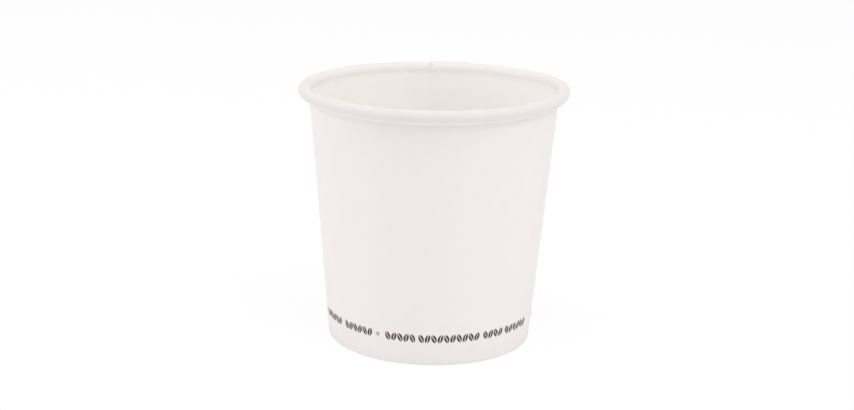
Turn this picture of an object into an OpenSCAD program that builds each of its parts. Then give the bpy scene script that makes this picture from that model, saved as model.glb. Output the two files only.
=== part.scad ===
// Single-wall paper cup: a wrapped sidewall with a rolled rim, and a base disc sealed into its foot.
// Millimetres, +Z up, with the origin at the centre of the foot, on the table. The seam is at the back, +Y.

/* [Cup] */
// Diameter over the rolled rim
rim_diameter = 62; // [58:0.5:90]
// Height from the table to the top of the roll
cup_height = 59.8; // [40:0.2:120]
// Outer diameter of the sidewall at the table
base_diameter = 47.4; // [38:0.2:51]

/* [Paper] */
// Thickness of the sidewall's paper
wall_paper = 0.32; // [0.24:0.02:0.4]
// Thickness of the base's paper
base_paper = 0.32; // [0.24:0.02:0.5]
// Thickness of the coating that seals each face of the base's skirt
seal_film = 0.02; // [0.01:0.01:0.06]

/* [Rolled rim] */
// Width of the roll, from the inside of the wall to the outside of the rim
roll_width = 2.7; // [2.4:0.1:4]
// Height of the roll
roll_height = 3.2; // [2.6:0.1:4]
// Degrees that the sheet curls round, from the wall to its tucked edge
roll_turn = 425; // [375:5:450]
// Clearance between one turn of the roll and the next
roll_clearance = 0.1; // [0.06:0.02:0.2]

/* [Foot] */
// Height of the base's underside above the table
recess_depth = 5.5; // [4:0.5:12]
// Inside radius of the bend where the base's skirt turns down
base_bend = 0.6; // [0.2:0.1:1.2]
// Inside radius of the two bends that fold the sidewall under the skirt
fold_bend = 0.06; // [0.02:0.02:0.14]
// Clearance between the skirt's edge and the fold below it
skirt_clearance = 0.1; // [0.05:0.05:0.5]
// Clearance between the hem's edge and the base's bend above it
hem_clearance = 0.3; // [0.1:0.1:1]

/* [Side seam] */
// Width of the lap, measured round the cup at half height
lap_width = 6.8; // [4:0.2:10]
// Height of the pressed step at each of the lap's free edges
lap_step = 0.25; // [0.1:0.05:0.3]
// Degrees that the thicker lap follows the curl, before it is hidden inside the roll
lap_roll_turn = 290; // [200:10:300]
// Height above the base at which the lap's inner step starts
lap_clearance = 0.3; // [0.1:0.1:1]
// Direction of the lap's outer free edge, where 90 is the back; the lap runs on from it, to greater angles
seam_angle = 77.5; // [0:0.5:360]

/* [Hidden] */
wall_white = [0.93, 0.91, 0.9];
base_white = [0.92, 0.9, 0.86];

// Facets of a full ring, and points along each bend and along each full turn of the roll
ring_facets = 180;
bend_steps = 6;
turn_steps = 32;
// The roll's direction at a point is taken over this many degrees each way
tangent_reach = 0.5;

foot_radius = base_diameter / 2;
rim_radius = rim_diameter / 2;

// A sheet's path is a list of [point, normal] along its middle, and the normal points to the left of its run.
// The sidewall's runs down the hem, under the fold, up the wall and round the roll, so the drink is on its left.
function along(angle) = [cos(angle), sin(angle)];
function left_of(run) = [-run.y, run.x] / norm(run);

// Closed outline of a sheet that reaches these distances to the left and to the right of its path
function sheet(path, left, right) = concat(
    [for (s = path) s[0] + left * s[1]],
    [for (i = [len(path) - 1 : -1 : 0]) path[i][0] - right * path[i][1]]
);

// Round bend of a path about a centre, where hand is 1 if the bend turns right and -1 if it turns left
function bend(centre, radius, first, last, hand) = [
    for (i = [0 : bend_steps])
        let (out = along(first + (last - first) * i / bend_steps))
        [centre + radius * out, hand * out]
];

// The roll: an ellipse about its centre, from the inside of the wall over the top. It tightens as it curls,
// so that each turn clears the one outside it, and its first turn has the stated width and height.
function tighten(angle) = (wall_paper + roll_clearance) * pow(angle / 360, 1.5);
roll_half = [
    roll_width - wall_paper + tighten(180),
    roll_height - wall_paper + tighten(90) + tighten(270)
] / 2;
roll_centre = [
    rim_radius - wall_paper / 2 - roll_half.x + tighten(180),
    cup_height - wall_paper / 2 - roll_half.y + tighten(90)
];
function curl(angle) = roll_centre + [
    -(roll_half.x - tighten(angle)) * cos(angle),
    (roll_half.y - tighten(angle)) * sin(angle)
];
function curl_path(first, last) = let (steps = ceil((last - first) / 360 * turn_steps)) [
    for (i = [0 : steps])
        let (angle = first + (last - first) * i / steps)
        [curl(angle), left_of(curl(angle + tangent_reach) - curl(angle - tangent_reach))]
];

// The wall: a straight line from the foot that just touches the roll. With the roll scaled to a unit circle,
// the touching point follows from the distance and the direction of the foot.
foot_mid = [foot_radius - wall_paper / 2, 0];
to_foot = [(foot_mid.x - roll_centre.x) / roll_half.x, (foot_mid.y - roll_centre.y) / roll_half.y];
roll_start = acos(1 / norm(to_foot)) - atan2(to_foot.y, to_foot.x) - 180;
wall_top = curl(roll_start);
lean = atan2(wall_top.x - foot_mid.x, wall_top.y - foot_mid.y);

// Point at a height on the middle of a ply that lies parallel to the wall, this far inside it
function ply(inset, height) = [foot_mid.x + height * tan(lean) - inset / cos(lean), height];
skirt_inset = (wall_paper + base_paper) / 2 + seal_film;
hem_inset = 2 * skirt_inset;

// The fold: two bends that rest on the table, one under the wall and one under the hem
fold_radius = fold_bend + wall_paper / 2;
fold_height = fold_radius + wall_paper / 2;
wall_fold = ply(fold_radius, fold_height);
hem_fold = ply(hem_inset - fold_radius, fold_height);
hem_top = recess_depth - base_bend - hem_clearance;

// The base's bend, and the lower edge of its skirt
base_radius = base_bend + base_paper / 2;
base_middle = recess_depth + base_paper / 2;
base_top = recess_depth + base_paper;
skirt_bend = ply(skirt_inset + base_radius, base_middle - base_radius);
skirt_foot = wall_paper + skirt_clearance;

sidewall_path = concat(
    [[ply(hem_inset, hem_top), along(-lean)]],
    bend(hem_fold, fold_radius, 180 - lean, 270, -1),
    bend(wall_fold, fold_radius, 270, 360 - lean, -1),
    curl_path(roll_start, roll_turn)
);
base_path = concat(
    [[[0, base_middle], along(90)]],
    bend(skirt_bend, base_radius, 90, -lean, 1),
    [[ply(skirt_inset, skirt_foot), along(-lean)]]
);
lap_path = concat(
    [[ply(0, fold_height), along(180 - lean)]],
    curl_path(roll_start, lap_roll_turn)
);

// The lap's two plies cross over: it is turned about an axis a little to one side, so that it stands
// proud outside at its outer free edge and inside at its inner one, and is flush beside each of them
lap_radius = ply(0, cup_height / 2).x;
lap_turn = lap_width / lap_radius * 180 / PI;
lap_middle = seam_angle + lap_turn / 2;
lap_shift = lap_step / 2 / sin(lap_turn / 2);

// Turns an outline, drawn as radius and height, about the cup's axis
module turned(outline, angle = 360) {
    rotate_extrude(angle = angle, $fn = ring_facets)
        polygon(outline);
}

// Everything inside the wall, from below the table up to a little above the base
module base_seat() {
    seat_top = base_top + lap_clearance;
    turned([
        [0, -wall_paper],
        ply(wall_paper / 2, -wall_paper),
        ply(wall_paper / 2, seat_top),
        [0, seat_top]
    ]);
}

module seam_lap() {
    proud = (wall_paper + lap_step) / 2;
    difference() {
        translate(lap_shift * [sin(lap_middle), -cos(lap_middle), 0])
            rotate([0, 0, seam_angle])
                turned(sheet(lap_path, proud, proud), lap_turn);
        base_seat();
    }
}

// One wrapped sheet: wall, rolled rim, folded hem and lapped side seam
module sidewall() {
    color(wall_white) {
        turned(sheet(sidewall_path, wall_paper / 2, wall_paper / 2));
        seam_lap();
    }
}

// One round sheet: the floor of the cup, and the skirt that is sealed between wall and hem
module base_disc() {
    color(base_white)
        turned(sheet(base_path, base_paper / 2, base_paper / 2));
}

sidewall();
base_disc();
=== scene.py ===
"""A small white paper coffee cup, standing on white.

Lengths are in millimetres until a vertex is made, and the cup's sizes are those of the CAD frame.
Directions round the cup are in degrees from +X, so 270 is the front, towards the camera, and 90 is the
back, where the seam is.
"""

import math

import bmesh
import bpy
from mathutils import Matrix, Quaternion, Vector


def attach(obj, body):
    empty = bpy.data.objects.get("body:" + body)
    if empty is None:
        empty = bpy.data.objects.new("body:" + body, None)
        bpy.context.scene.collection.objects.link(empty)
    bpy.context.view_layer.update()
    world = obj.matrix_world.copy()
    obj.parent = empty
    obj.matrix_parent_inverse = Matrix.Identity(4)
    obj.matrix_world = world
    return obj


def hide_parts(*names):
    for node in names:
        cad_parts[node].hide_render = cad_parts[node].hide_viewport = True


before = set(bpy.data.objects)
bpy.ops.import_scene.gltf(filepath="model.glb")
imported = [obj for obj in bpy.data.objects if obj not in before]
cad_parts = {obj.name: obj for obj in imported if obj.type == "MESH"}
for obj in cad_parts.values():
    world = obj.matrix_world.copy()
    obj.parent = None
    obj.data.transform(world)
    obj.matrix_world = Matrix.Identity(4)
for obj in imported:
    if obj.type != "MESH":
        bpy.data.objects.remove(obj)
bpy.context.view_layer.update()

MM = 0.001

# Cup
RIM_RADIUS = 31.0
CUP_HEIGHT = 59.8
FOOT_RADIUS = 23.7

# Paper
WALL_PAPER = 0.32
BASE_PAPER = 0.32
SEAL_FILM = 0.02

# Rolled rim
ROLL_WIDTH = 2.7
ROLL_HEIGHT = 3.2
ROLL_TURN = 425
ROLL_CLEARANCE = 0.1
# The roll's direction at a point is taken over this many degrees each way
TANGENT_REACH = 0.5
# How much fuller the roll is at its upper outer corner than an ellipse, and how much flatter at its lower
UPPER_FULLNESS = 0.06
LOWER_FLATNESS = 0.2
# Painted shade on the roll, from 0 to 1, at about these degrees of its curl: the share by which its coated
# colour gives way to a darker copy. Where it fades out under the roll, the lower edge shows a painted light
# line.
ROLL_SHADE_BY_CURL = ((-40, 0.0), (5, 0.6), (40, 0.7), (80, 1.0), (215, 1.0), (280, 0.0))
# The roll swells a little into the cup: by how much, and over what height above and below its middle
SWELL = 0.1
SWELL_REACH = 0.7

# Foot
RECESS_DEPTH = 5.5
BASE_BEND = 0.6
FOLD_BEND = 0.06
SKIRT_CLEARANCE = 0.1
HEM_CLEARANCE = 0.3
HEM_TOP = RECESS_DEPTH - BASE_BEND - HEM_CLEARANCE
BASE_SAG = 0.3
# Ribs pressed into the hem: how high they start, and over what heights they begin and end
KNURL_RIBS = 112
KNURL_DEPTH = 0.07
KNURL_LOW = 0.6
KNURL_BEGINS = 0.6
KNURL_ENDS = 0.5

# Side seam: directions of the free edges, and how far beside each edge the plies settle
OUTER_EDGE = 77.5
INNER_EDGE = 92.4
SETTLE = 5.0
# Gap between the two plies, and how far each of them moves from the single sheet's place
PLY_GAP = 0.008
PLY_SHIFT = (WALL_PAPER + PLY_GAP) / 2
# The small burr that the inner edge leaves on the roll, from this height above the roll's middle
BURR_HEIGHT = 0.22
BURR_WIDTH = 1.6
BURR_FROM = 0.8
BURR_FADE = 0.6
# The inner edge is pressed thin: its share of the paper's thickness, and the width of the pressed strip
PRESSED_SHARE = 0.25
PRESSED_WIDTH = 5.0

# How far the rim is squeezed out of round, towards 45 and 225 degrees
SQUEEZE = 0.7
# Waves in the rim's radius and in its height: how many there are round the rim, size and phase in radians
RADIUS_WAVES = ((3, 0.05, 2.1), (7, 0.018, 0.4))
HEIGHT_WAVES = ((2, 0.26, 0.0), (5, 0.035, 1.0), (11, 0.02, 0.0))
# Where the rim has been pressed down: direction, half width in degrees, and depth
RIM_DIPS = ((160, 40, 0.45), (50, 22, 0.28))
# Powers with which the changes in radius and in height grow from the foot to the rim
RADIUS_POWER = 1.2
HEIGHT_POWER = 3

# Material slots of a sheet and of the print
COATED, OUTSIDE, CUT = range(3)
BROWN, GREY = range(2)

# Mesh density, and the angle in degrees between two faces above which their edge stays sharp
COLUMNS_PER_RIB = 4
ROLL_STEP = 11
BEND_STEPS = 5
WALL_ROWS = 16
SWELL_ROWS = 8
HEM_ROWS = 7
BASE_RINGS = 14
SKIRT_ROWS = (0.33, 0.67, 1.0)
BEAN_STEPS = 8
DOT_STEPS = 20
FLOOR_STEPS = 96
SHARP_ABOVE = 40

# Print: a line of small coffee beans in groups, each given by its first direction from the front and its
# number of beans, with dots between some of the groups
PRINT_GROUPS = ((-75.3, 6), (-51.7, 6), (-23.7, 5), (-5.5, 10), (30.4, 4), (45.5, 6))
PRINT_DOTS = (-79.6, -28.0)
# The line comes again after this many degrees, but only between these two directions from the front
PRINT_REPEAT = 158.0
PRINT_FIRST = -172.0
PRINT_LAST = 164.0
PRINT_HEIGHT = 6.45
BEAN_PITCH = 3.4
BEAN_LENGTH = 2.15
BEAN_WIDTH = 1.16
BEAN_TILT = 19
BEAN_SPLIT = 0.17
# How far the split swings to each side, and the power that rounds the bean's ends
BEAN_SWING = 0.09
BEAN_ROUNDING = 0.7
DOT_WIDTH = 1.0
# How far the ink reaches out of the wall's face and into it
INK_PROUD = 0.012
INK_SUNK = 0.03

# Faint clouds in the board: their size, how much darker they are in steps of 255, and how much they
# change its roughness
CLOUD_SIZE = 2.5
CLOUD_DEPTH = 1.5
CLOUD_ROUGHNESS = 0.05
# Size of the spots where the ink is thinner, and the ink's roughness
INK_SPOTS = 0.2
INK_ROUGHNESS = 0.6

# Camera, as fitted to the cup's outline in the photograph
CAMERA_AT = (0.0, -351.1, 126.7)
CAMERA_LOOKS_AT = (-1.125, 0.0, 30.85)
CAMERA_ROLL = 1.44
FOCAL_PX = 1555.9
PICTURE_WIDTH_PX = 854
SENSOR_WIDTH = 36.0
CLIP_START = 10

# Light: level of the even light, and softboxes by direction, elevation, distance, size and level
AMBIENT = 0.69
LAMPS = (
    ("front_left", 225, 45, 800, 500, 0.04),
    ("front_right", 315, 45, 800, 500, 0.17),
    ("side_left", 180, 25, 900, 600, 0.20),
    ("side_right", 0, 25, 900, 600, 0.09),
    ("top", 270, 80, 900, 600, 0.20),
)

# Floor: its radius, how far it lies under the foot, its white, and the share of it that the camera sees as
# plain white
FLOOR_RADIUS = 2000
FLOOR_DROP = 0.01
FLOOR_WHITE = 0.95
FLOOR_GIVEN = 0.9


def smooth(x):
    """0 below 0, 1 above 1, and an even curve between them."""
    x = min(max(x, 0.0), 1.0)
    return x * x * (3 - 2 * x)


def lapness(direction):
    """1 where the sheet is double, falling to 0 a little way beside each free edge."""
    middle = (OUTER_EDGE + INNER_EDGE) / 2
    half = (INNER_EDGE - OUTER_EDGE) / 2
    away = abs((direction - middle + 180) % 360 - 180) - half
    return 1 - smooth(away / SETTLE)


def waves(table, a):
    """Sum of the waves of a table at this angle in radians."""
    return sum(size * math.cos(count * a + phase) for count, size, phase in table)


def settled(direction, r, height):
    """Where a point of the true cup lies in this one, which has been handled: squeezed and uneven."""
    a = math.radians(direction)
    up = min(max(height / CUP_HEIGHT, 0.0), 1.0)
    r += up ** RADIUS_POWER * (SQUEEZE * math.sin(2 * a) + waves(RADIUS_WAVES, a))
    raised = waves(HEIGHT_WAVES, a)
    for middle, half_width, depth in RIM_DIPS:
        away = ((direction - middle + 180) % 360 - 180) / half_width
        raised -= depth * math.exp(-away * away)
    return r, height + up ** HEIGHT_POWER * raised


class Section:
    """The cup's section in one direction: for each sheet, a path along the middle of its paper.

    A path is a list of (r, z, normal r, normal z). Each normal points to the left of the path's run, and the
    sidewall's left face is the one that holds the drink.
    """

    def __init__(self, direction):
        self.lap = lapness(direction)
        self.pitch = WALL_PAPER * (1 + self.lap) + ROLL_CLEARANCE
        self.half = (
            (ROLL_WIDTH - WALL_PAPER + self.tighten(180)) / 2,
            (ROLL_HEIGHT - WALL_PAPER + self.tighten(90) + self.tighten(270)) / 2,
        )
        self.centre = (
            RIM_RADIUS - WALL_PAPER / 2 - self.half[0] + self.tighten(180),
            CUP_HEIGHT - WALL_PAPER / 2 - self.half[1] + self.tighten(90),
        )
        self.foot = FOOT_RADIUS - WALL_PAPER / 2
        to_foot = ((self.foot - self.centre[0]) / self.half[0], -self.centre[1] / self.half[1])
        touch = math.acos(1 / math.hypot(*to_foot)) - math.atan2(to_foot[1], to_foot[0])
        self.roll_start = math.degrees(touch) - 180
        top = self.curl(self.roll_start)
        self.lean = math.atan2(top[0] - self.foot, top[1])

    def tighten(self, angle):
        """How much smaller the roll has become after this many degrees of curl."""
        return self.pitch * (angle / 360) ** 1.5

    def curl(self, angle):
        """Point of the roll, with 0 at its inner side, 90 on top and 180 at its outer side."""
        a = math.radians(angle)
        shrink = self.tighten(angle)
        full = 1.0
        if 90 < angle < 270:
            full -= (UPPER_FULLNESS if angle < 180 else LOWER_FLATNESS) * math.sin(2 * a)
        return (
            self.centre[0] - (self.half[0] - shrink) * full * math.cos(a),
            self.centre[1] + (self.half[1] - shrink) * full * math.sin(a),
        )

    def ply(self, inset, height):
        """Radius at a height of a ply that lies parallel to the wall's middle, this far inside it."""
        return self.foot + height * math.tan(self.lean) - inset / math.cos(self.lean)

    def bend(self, centre, radius, first, last, hand, steps):
        """Points round a bend, where hand is 1 if the path turns right and -1 if it turns left."""
        points = []
        for i in range(steps + 1):
            a = math.radians(first + (last - first) * i / steps)
            r, z = math.cos(a), math.sin(a)
            points.append((centre[0] + radius * r, centre[1] + radius * z, hand * r, hand * z))
        return points

    def sidewall(self):
        """Down the hem, under the fold, up the wall and round the roll."""
        lean = math.degrees(self.lean)
        doubled = PLY_SHIFT * self.lap
        radius = FOLD_BEND + WALL_PAPER / 2 + doubled
        low = radius + WALL_PAPER / 2 + doubled
        inset = WALL_PAPER + BASE_PAPER + 2 * SEAL_FILM + 2 * doubled
        up_right = (math.cos(self.lean), -math.sin(self.lean))
        path = []
        for i in range(HEM_ROWS):
            z = HEM_TOP + (low - HEM_TOP) * i / HEM_ROWS
            path.append((self.ply(inset, z), z, *up_right))
        path += self.bend((self.ply(inset - radius, low), low), radius, 180 - lean, 270, -1, BEND_STEPS)
        path += self.bend((self.ply(radius, low), low), radius, 270, 360 - lean, -1, BEND_STEPS)
        top = self.curl(self.roll_start)
        swell_foot = self.centre[1] - 3 * SWELL_REACH
        heights = [low + (swell_foot - low) * i / WALL_ROWS for i in range(1, WALL_ROWS)]
        heights += [swell_foot + (top[1] - swell_foot) * i / SWELL_ROWS for i in range(SWELL_ROWS)]
        path += [(self.ply(0, z), z, -up_right[0], -up_right[1]) for z in heights]
        steps = math.ceil((ROLL_TURN - self.roll_start) / ROLL_STEP)
        for i in range(steps + 1):
            angle = self.roll_start + (ROLL_TURN - self.roll_start) * i / steps
            before = self.curl(angle - TANGENT_REACH)
            after = self.curl(angle + TANGENT_REACH)
            run = (after[0] - before[0], after[1] - before[1])
            length = math.hypot(*run)
            path.append((*self.curl(angle), -run[1] / length, run[0] / length))
        return path

    def base(self):
        """From near the middle of the floor outwards, round the bend and down the skirt."""
        lean = math.degrees(self.lean)
        inset = (WALL_PAPER + BASE_PAPER) / 2 + SEAL_FILM + PLY_SHIFT * self.lap
        radius = BASE_BEND + BASE_PAPER / 2
        middle = RECESS_DEPTH + BASE_PAPER / 2
        centre = (self.ply(inset + radius, middle - radius), middle - radius)
        path = []
        for i in range(1, BASE_RINGS):
            r = centre[0] * i / BASE_RINGS
            path.append((r, middle - BASE_SAG * (1 - smooth(r / centre[0])), 0.0, 1.0))
        path += self.bend(centre, radius, 90, -lean, 1, BEND_STEPS + 2)
        skirt_foot = WALL_PAPER + SKIRT_CLEARANCE + 2 * PLY_SHIFT * self.lap
        for part in SKIRT_ROWS:
            z = centre[1] + (skirt_foot - centre[1]) * part
            path.append((self.ply(inset, z), z, math.cos(self.lean), -math.sin(self.lean)))
        return path


class SheetMesh:
    """A mesh made of one sheet of paper: a left face, a right face and the cut edges between them."""

    def __init__(self):
        self.mesh = bmesh.new()
        # Share of painted shade at each vertex, darker on the roll, for the coated material to read
        self.painted_roll_shade = self.mesh.verts.layers.float.new("painted_roll_shade")
        self.columns = []

    def add_column(self, direction, left, right):
        """left and right are lists of (r, z) along the two faces, in one direction round the cup."""
        a = math.radians(direction)
        column = []
        for face in (left, right):
            placed = [settled(direction, r, z) for r, z in face]
            column.append([
                self.mesh.verts.new((r * math.cos(a) * MM, r * math.sin(a) * MM, z * MM))
                for r, z in placed
            ])
        self.columns.append(column)

    def add_face(self, vertices, slot):
        self.mesh.faces.new(vertices).material_index = slot

    def join_columns(self, here, there, edge_rows):
        """Both faces between two neighbouring columns, and the cut edges at these rows."""
        for j in range(len(here[0]) - 1):
            for one, other, slot in zip(here, there, (COATED, OUTSIDE)):
                self.add_face((one[j], one[j + 1], other[j + 1], other[j]), slot)
        for j in edge_rows:
            self.add_face((here[0][j], here[1][j], there[1][j], there[0][j]), CUT)

    def finish_strip(self, name):
        """A sheet that ends in a cut edge on each of its four sides."""
        for here, there in zip(self.columns, self.columns[1:]):
            self.join_columns(here, there, (0, -1))
        for left, right in (self.columns[0], self.columns[-1]):
            for j in range(len(left) - 1):
                self.add_face((left[j], left[j + 1], right[j + 1], right[j]), CUT)
        return self.finish(name)

    def finish_disc(self, name, middle_height, paper):
        """A round sheet: its columns start beside the middle, and only its rim is a cut edge."""
        for here, there in zip(self.columns, self.columns[1:] + self.columns[:1]):
            self.join_columns(here, there, (-1,))
        for side, (slot, offset) in enumerate(((COATED, paper / 2), (OUTSIDE, -paper / 2))):
            middle = self.mesh.verts.new((0, 0, (middle_height + offset) * MM))
            for here, there in zip(self.columns, self.columns[1:] + self.columns[:1]):
                self.add_face((here[side][0], there[side][0], middle), slot)
        return self.finish(name)

    def finish(self, name):
        bmesh.ops.recalc_face_normals(self.mesh, faces=self.mesh.faces)
        return mesh_object(name, self.mesh)


def mesh_object(name, source):
    """Turns a bmesh into a smooth-shaded object, with creases kept where its faces meet at a large angle."""
    data = bpy.data.meshes.new(name)
    source.to_mesh(data)
    source.free()
    for polygon in data.polygons:
        polygon.use_smooth = True
    data.set_sharp_from_angle(angle=math.radians(SHARP_ABOVE))
    made = bpy.data.objects.new(name, data)
    bpy.context.scene.collection.objects.link(made)
    return made


def knurl(direction, height):
    """Depth of the ribs that the closing tool presses into the hem."""
    ends = smooth((height - KNURL_LOW) / KNURL_BEGINS) * smooth((HEM_TOP - height) / KNURL_ENDS)
    return KNURL_DEPTH * ends * (0.5 + 0.5 * math.cos(math.radians(KNURL_RIBS * direction)))


def ply_shift(along):
    """How far the sheet moves to its left, where along is in degrees from its inner free edge."""
    lap = INNER_EDGE - OUTER_EDGE
    inner = 1 - smooth((along - lap) / SETTLE)
    outer = smooth((along - (360 - SETTLE)) / SETTLE)
    return PLY_SHIFT * (inner - outer)


def burr(along, section, height):
    """Height of the burr where the inner free edge goes over the top of the roll."""
    on_top = smooth((height - section.centre[1] - BURR_FROM) / BURR_FADE)
    return BURR_HEIGHT * on_top * (1 - smooth(along / BURR_WIDTH))


def swell(section, r, height):
    """How far the inner side of the roll stands proud of the wall's line."""
    away = (height - section.centre[1]) / SWELL_REACH
    return SWELL * math.exp(-away * away) if r < section.centre[0] else 0.0


def painted_roll_shade(rows_left):
    """Share of painted shade on the sheet this many rows before its tucked edge, with the wall's rows counted
    on.
    """
    angle = ROLL_TURN - rows_left * ROLL_STEP
    for (low, before), (high, after) in zip(ROLL_SHADE_BY_CURL, ROLL_SHADE_BY_CURL[1:]):
        if low <= angle <= high:
            return before + (after - before) * smooth((angle - low) / (high - low))
    return 0.0


def make_sidewall():
    """The wrapped sheet: from its inner free edge it runs once round the cup and on over itself."""
    turn = 360 + INNER_EDGE - OUTER_EDGE
    count = round(turn / 360 * KNURL_RIBS * COLUMNS_PER_RIB)
    sheet = SheetMesh()
    for i in range(count + 1):
        along = turn * i / count
        direction = INNER_EDGE - along
        section = Section(direction)
        pressed = WALL_PAPER * (1 - PRESSED_SHARE) * (1 - smooth(along / PRESSED_WIDTH))
        left, right = [], []
        for j, (r, z, nr, nz) in enumerate(section.sidewall()):
            shift = ply_shift(along) + burr(along, section, z) + swell(section, r, z)
            r += shift * nr
            z += shift * nz
            to_left = WALL_PAPER / 2 - pressed
            to_right = WALL_PAPER / 2 - (knurl(direction, z) if j < HEM_ROWS else 0)
            left.append((r + nr * to_left, z + nz * to_left))
            right.append((r - nr * to_right, z - nz * to_right))
        sheet.add_column(direction, left, right)
        # Painted shade on the roll, kept on the coated face's vertices
        for j, vertex in enumerate(reversed(sheet.columns[-1][0])):
            vertex[sheet.painted_roll_shade] = painted_roll_shade(j)
    return sheet.finish_strip("sidewall_sheet")


def make_base():
    """The round sheet that is the floor: a little sunk in the middle, with a skirt sealed to the wall."""
    count = KNURL_RIBS * COLUMNS_PER_RIB // 2
    sheet = SheetMesh()
    for i in range(count):
        direction = 360 * i / count
        path = Section(direction).base()
        left = [(r + nr * BASE_PAPER / 2, z + nz * BASE_PAPER / 2) for r, z, nr, nz in path]
        right = [(r - nr * BASE_PAPER / 2, z - nz * BASE_PAPER / 2) for r, z, nr, nz in path]
        sheet.add_column(direction, left, right)
    return sheet.finish_disc("base_sheet", RECESS_DEPTH + BASE_PAPER / 2 - BASE_SAG, BASE_PAPER)


def wall_point(direction, height, proud):
    """Point this far outside the printed face of the wall, in metres."""
    section = Section(direction)
    r = section.ply(0, height) + (WALL_PAPER / 2 + proud) / math.cos(section.lean)
    r, height = settled(direction, r, height)
    a = math.radians(direction)
    return (r * math.cos(a) * MM, r * math.sin(a) * MM, height * MM)


def degrees_along(length, height):
    """Turn round the cup that a length covers on the wall at this height."""
    return math.degrees(length / (FOOT_RADIUS + height * math.tan(Section(270).lean)))


def add_patch(mesh, slot, outline):
    """A thin closed patch of ink on the wall, from an outline of (degrees from the front, height) points."""
    middle = tuple(sum(point[k] for point in outline) / len(outline) for k in (0, 1))
    over, under = [
        [mesh.verts.new(wall_point(270 + a, z, proud)) for a, z in (*outline, middle)]
        for proud in (INK_PROUD, -INK_SUNK)
    ]
    for i in range(len(outline)):
        k = (i + 1) % len(outline)
        for face in (
            (over[i], over[k], over[-1]),
            (under[k], under[i], under[-1]),
            (over[i], under[i], under[k], over[k]),
        ):
            mesh.faces.new(face).material_index = slot


def on_wall(middle, shape, tilt=0):
    """A flat outline in millimetres about (0, 0), tilted and then laid on the wall at the print's height."""
    c, s = math.cos(math.radians(tilt)), math.sin(math.radians(tilt))
    return [
        (middle + degrees_along(x * c + z * s, PRINT_HEIGHT), PRINT_HEIGHT + z * c - x * s)
        for x, z in shape
    ]


def bean_half(side):
    """Outline of one half of a coffee bean: its outer edge, and back along the curved split in the middle."""
    outer, inner = [], []
    for i in range(BEAN_STEPS + 1):
        t = i / BEAN_STEPS
        z = BEAN_LENGTH * (t - 0.5)
        bulge = (BEAN_WIDTH - BEAN_SPLIT) / 2 * math.sin(math.pi * t) ** BEAN_ROUNDING
        outer.append((side * (BEAN_SPLIT / 2 + bulge), z))
        inner.append((side * BEAN_SPLIT / 2 + BEAN_SWING * math.sin(2 * math.pi * t), z))
    return outer + inner[-2:0:-1]


def dot():
    """Outline of a round dot."""
    turns = [2 * math.pi * i / DOT_STEPS for i in range(DOT_STEPS)]
    return [(DOT_WIDTH / 2 * math.cos(a), DOT_WIDTH / 2 * math.sin(a)) for a in turns]


def make_print():
    """The line of print: groups of beans and dots, repeated round the cup except at the seam."""
    mesh = bmesh.new()
    for repeat in (-1, 0, 1):
        offset = repeat * PRINT_REPEAT
        for first, count in PRINT_GROUPS:
            start = first + offset
            if start < PRINT_FIRST or start + count * BEAN_PITCH > PRINT_LAST:
                continue
            for i in range(count):
                for side in (1, -1):
                    tilt = BEAN_TILT if i % 2 else -BEAN_TILT
                    middle = start + (i + 0.5) * BEAN_PITCH
                    add_patch(mesh, BROWN, on_wall(middle, bean_half(side), tilt))
        for middle in PRINT_DOTS:
            if PRINT_FIRST < middle + offset < PRINT_LAST:
                add_patch(mesh, GREY, on_wall(middle + offset, dot()))
    bmesh.ops.recalc_face_normals(mesh, faces=mesh.faces)
    return mesh_object("print_band", mesh)


def srgb(red, green, blue):
    """The linear values that a shader takes, for a colour that shows as these 0 to 255 values on screen."""
    def linear(value):
        value /= 255
        return value / 12.92 if value <= 0.04045 else ((value + 0.055) / 1.055) ** 2.4
    return (linear(red), linear(green), linear(blue), 1.0)


class Nodes:
    """A material's node tree, with short names for making nodes and joining them."""

    def __init__(self, name):
        self.material = bpy.data.materials.new(name)
        self.material.use_nodes = True
        self.tree = self.material.node_tree
        self.shader = self.tree.nodes["Principled BSDF"]
        self.where = self.add("ShaderNodeTexCoord", {}).outputs["Object"]

    def add(self, kind, values):
        node = self.tree.nodes.new(kind)
        for socket, value in values.items():
            node.inputs[socket].default_value = value
        return node

    def join(self, source, target):
        self.tree.links.new(source, target)

    def noise(self, size, detail):
        """Noise with features of about this size."""
        node = self.add("ShaderNodeTexNoise", {"Scale": 1 / (size * MM), "Detail": detail})
        self.join(self.where, node.inputs["Vector"])
        return node.outputs["Fac"]

    def ramp(self, source, first, last, low=0.3, high=0.7):
        """Colour that goes from first to last as the source goes from low to high."""
        node = self.add("ShaderNodeValToRGB", {})
        for element, position, colour in zip(node.color_ramp.elements, (low, high), (first, last)):
            element.position = position
            element.color = colour
        self.join(source, node.inputs["Fac"])
        return node.outputs["Color"]

    def mix(self, factor, first, second):
        """Colour that goes from first to second as the factor goes from 0 to 1."""
        node = self.add("ShaderNodeMix", {})
        node.data_type = "RGBA"
        colours = [socket for socket in node.inputs if socket.type == "RGBA"]
        self.join(factor, node.inputs["Factor"])
        self.join(first, colours[0])
        self.join(second, colours[1])
        return next(socket for socket in node.outputs if socket.type == "RGBA")

    def scaled(self, source, low, high):
        """Value that goes from low to high as the source goes from 0 to 1."""
        node = self.add("ShaderNodeMapRange", {"To Min": low, "To Max": high})
        self.join(source, node.inputs["Value"])
        return node.outputs["Result"]


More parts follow.
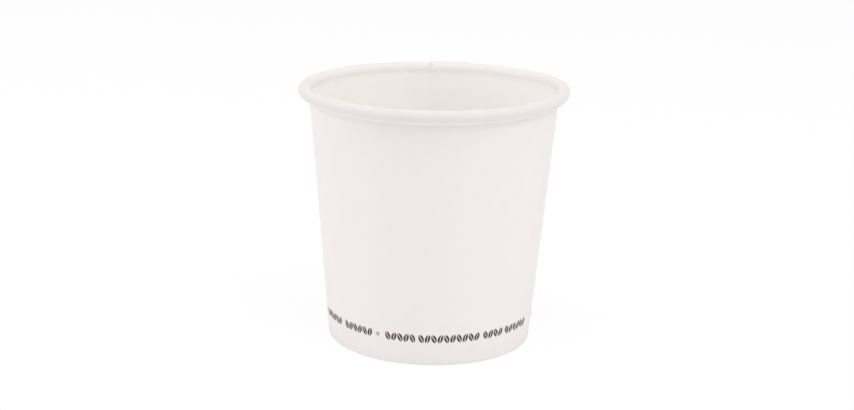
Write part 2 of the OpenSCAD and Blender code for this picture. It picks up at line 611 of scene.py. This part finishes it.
def paper(name, colour, roughness, gloss, fibre_size, relief, roll_shade_colour=None):
    """Cup board: very faint clouds in its colour, and the fine relief of its fibres.

    Where the mesh holds painted shade, it takes on the second colour, a darker copy of the same board.
    """
    n = Nodes(name)
    clouds = n.noise(CLOUD_SIZE, detail=5)
    tone = n.ramp(clouds, srgb(*[value - CLOUD_DEPTH for value in colour]), srgb(*colour))
    # Painted shade: the roll darkens towards the second colour by the share that the mesh gives
    if roll_shade_colour:
        roll_shade_share = n.add("ShaderNodeAttribute", {})
        roll_shade_share.attribute_name = "painted_roll_shade"
        roll_shade_tone = n.ramp(clouds, srgb(*[value - CLOUD_DEPTH for value in roll_shade_colour]), srgb(*roll_shade_colour))
        tone = n.mix(roll_shade_share.outputs["Fac"], tone, roll_shade_tone)
    n.join(tone, n.shader.inputs["Base Color"])
    uneven = n.scaled(clouds, roughness - CLOUD_ROUGHNESS, roughness + CLOUD_ROUGHNESS)
    n.join(uneven, n.shader.inputs["Roughness"])
    bump = n.add("ShaderNodeBump", {"Strength": 1.0, "Distance": relief * MM})
    n.join(n.noise(fibre_size, detail=3), bump.inputs["Height"])
    n.join(bump.outputs["Normal"], n.shader.inputs["Normal"])
    n.shader.inputs["Specular IOR Level"].default_value = gloss
    return n.material


def ink(name, colour, thin):
    """Printed ink, a little thinner here and there because it follows the board's fibres."""
    n = Nodes(name)
    spots = n.ramp(n.noise(INK_SPOTS, detail=2), colour, thin, low=0.4, high=0.8)
    n.join(spots, n.shader.inputs["Base Color"])
    n.shader.inputs["Roughness"].default_value = INK_ROUGHNESS
    return n.material


def make_camera():
    """The photograph's camera, in front of the cup and a little above it."""
    data = bpy.data.cameras.new("camera")
    data.sensor_width = SENSOR_WIDTH
    data.lens = FOCAL_PX / PICTURE_WIDTH_PX * SENSOR_WIDTH
    data.clip_start = CLIP_START * MM
    camera = bpy.data.objects.new("camera", data)
    bpy.context.scene.collection.objects.link(camera)
    place = Vector(CAMERA_AT) * MM
    look = Vector(CAMERA_LOOKS_AT) * MM - place
    camera.location = place
    roll = Quaternion((0, 0, 1), math.radians(CAMERA_ROLL))
    camera.rotation_mode = "QUATERNION"
    camera.rotation_quaternion = look.to_track_quat("-Z", "Y") @ roll
    bpy.context.scene.camera = camera


def seen_directly(tree):
    """Output that is 1 for the rays of the camera, of reflections and through glass, and 0 for the others."""
    path = tree.nodes.new("ShaderNodeLightPath")
    found = path.outputs["Is Camera Ray"]
    for kind in ("Is Glossy Ray", "Is Transmission Ray"):
        either = tree.nodes.new("ShaderNodeMath")
        either.operation = "MAXIMUM"
        tree.links.new(found, either.inputs[0])
        tree.links.new(path.outputs[kind], either.inputs[1])
        found = either.outputs["Value"]
    return found


def make_world():
    """Even white light from all round, and plain white where the camera or a reflection sees it."""
    world = bpy.data.worlds.new("world")
    world.use_nodes = True
    tree = world.node_tree
    strength = tree.nodes.new("ShaderNodeMapRange")
    strength.inputs["To Min"].default_value = AMBIENT
    strength.inputs["To Max"].default_value = 1.0
    tree.links.new(seen_directly(tree), strength.inputs["Value"])
    background = tree.nodes["Background"]
    background.inputs["Color"].default_value = (1, 1, 1, 1)
    tree.links.new(strength.outputs["Result"], background.inputs["Strength"])
    bpy.context.scene.world = world


def make_floor():
    """White table. The camera sees most of its white as given, so the cup's shadow is faint."""
    mesh = bmesh.new()
    bmesh.ops.create_circle(mesh, cap_ends=True, segments=FLOOR_STEPS, radius=FLOOR_RADIUS * MM)
    floor = mesh_object("floor", mesh)
    floor.location.z = -FLOOR_DROP * MM
    material = bpy.data.materials.new("white_table")
    material.use_nodes = True
    tree = material.node_tree
    shader = tree.nodes["Principled BSDF"]
    shader.inputs["Base Color"].default_value = (FLOOR_WHITE, FLOOR_WHITE, FLOOR_WHITE, 1)
    shader.inputs["Roughness"].default_value = 1.0
    shader.inputs["Specular IOR Level"].default_value = 0.0
    given = tree.nodes.new("ShaderNodeEmission")
    given.inputs["Strength"].default_value = 1.0
    share = tree.nodes.new("ShaderNodeMath")
    share.operation = "MULTIPLY"
    share.inputs[1].default_value = FLOOR_GIVEN
    tree.links.new(seen_directly(tree), share.inputs[0])
    mix = tree.nodes.new("ShaderNodeMixShader")
    tree.links.new(share.outputs["Value"], mix.inputs["Fac"])
    tree.links.new(shader.outputs["BSDF"], mix.inputs[1])
    tree.links.new(given.outputs["Emission"], mix.inputs[2])
    tree.links.new(mix.outputs["Shader"], tree.nodes["Material Output"].inputs["Surface"])
    floor.data.materials.append(material)


def make_lamp(name, azimuth, elevation, distance, size, level):
    """A round softbox aimed at the cup, where a level of 1 lights a facing white surface to full white."""
    data = bpy.data.lights.new(name, "AREA")
    data.shape = "DISK"
    data.size = size * MM
    data.energy = level * (math.pi * distance * MM) ** 2
    lamp = bpy.data.objects.new(name, data)
    bpy.context.scene.collection.objects.link(lamp)
    around, up = math.radians(azimuth), math.radians(elevation)
    aim = Vector((0, 0, CUP_HEIGHT / 2)) * MM
    away = Vector((math.cos(up) * math.cos(around), math.cos(up) * math.sin(around), math.sin(up)))
    lamp.location = aim + away * distance * MM
    lamp.rotation_mode = "QUATERNION"
    lamp.rotation_quaternion = away.to_track_quat("Z", "Y")


make_camera()
# The coated board, with a darker copy of its colour painted on the roll as shade
coated = paper(
    "coated_paper", (251, 248, 245), roughness=0.5, gloss=0.2, fibre_size=0.45, relief=0.012,
    roll_shade_colour=(230, 224, 222),
)
outside = paper(
    "printed_paper", (239, 233, 233), roughness=0.75, gloss=0.12, fibre_size=0.3, relief=0.015
)
cut = paper("cut_paper", (246, 242, 236), roughness=0.9, gloss=0.1, fibre_size=0.15, relief=0.03)
brown = ink("brown_ink", srgb(70, 44, 27), srgb(92, 64, 46))
grey = ink("grey_ink", srgb(172, 176, 183), srgb(186, 190, 195))

wall = make_sidewall()
base = make_base()
band = make_print()
for piece, materials, slot in (
    (wall, (coated, outside, cut), "wall_paper"),
    (base, (coated, outside, cut), "base_paper"),
    (band, (brown, grey), "print_ink"),
):
    for material in materials:
        piece.data.materials.append(material)
    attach(piece, "root")
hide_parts("sidewall")
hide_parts("base_disc")

make_world()
make_floor()
for setting in LAMPS:
    make_lamp(*setting)
bpy.context.scene.view_settings.view_transform = "Standard"
